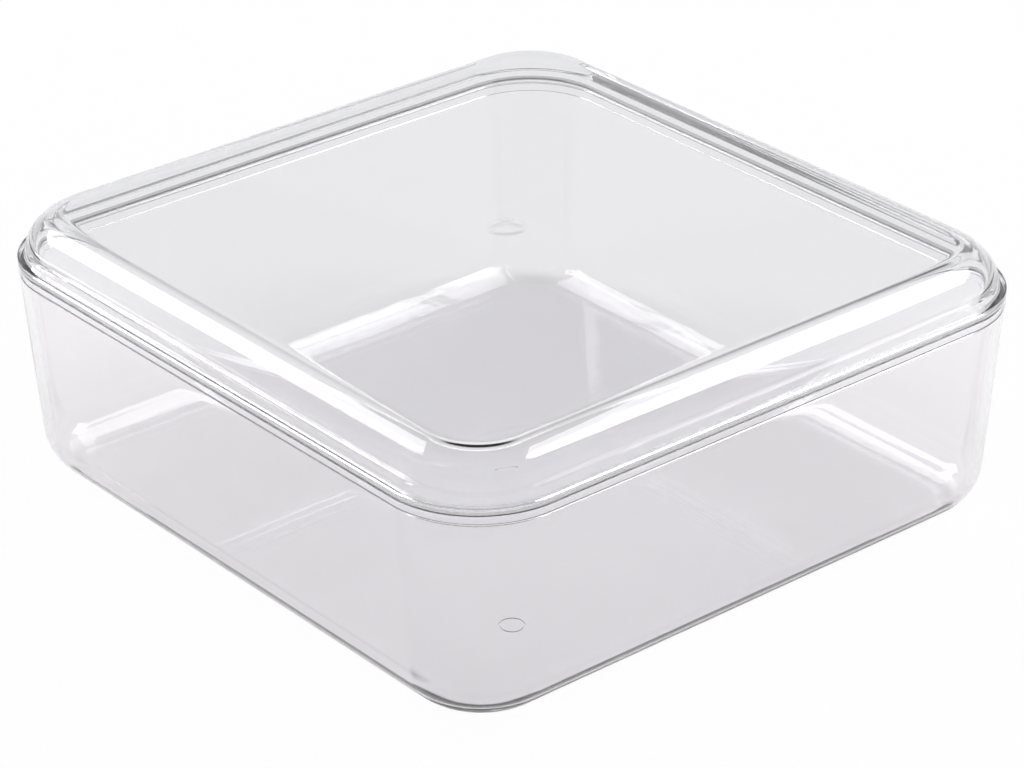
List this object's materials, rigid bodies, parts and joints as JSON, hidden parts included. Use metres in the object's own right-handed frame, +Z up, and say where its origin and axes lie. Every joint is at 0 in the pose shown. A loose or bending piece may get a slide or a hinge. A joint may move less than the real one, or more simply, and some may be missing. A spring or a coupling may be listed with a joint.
{
  "type": "cake container",
  "caption": "Clear plastic cake container with rounded corners: a deep drafted base and a lift-off lid with a rounded shoulder and a locating lip.",
  "frame": {"origin": "centre of the underside, on the surface the container stands on", "axes": "+Z up, X along the slightly longer side, Y along the shorter side"},
  "size_m": [0.2862, 0.2758, 0.1065],
  "materials": {
    "base": "clear, polished",
    "lid": "clear, polished"
  },
  "bodies": {
    "base": {"base": "base"},
    "lid": {"lid": "lid"}
  },
  "joints": [
    {"name": "lid_lift", "type": "slide", "parent": "base", "child": "lid", "axis": [0, 0, 1], "range_m": [0, 0.06]}
  ]
}
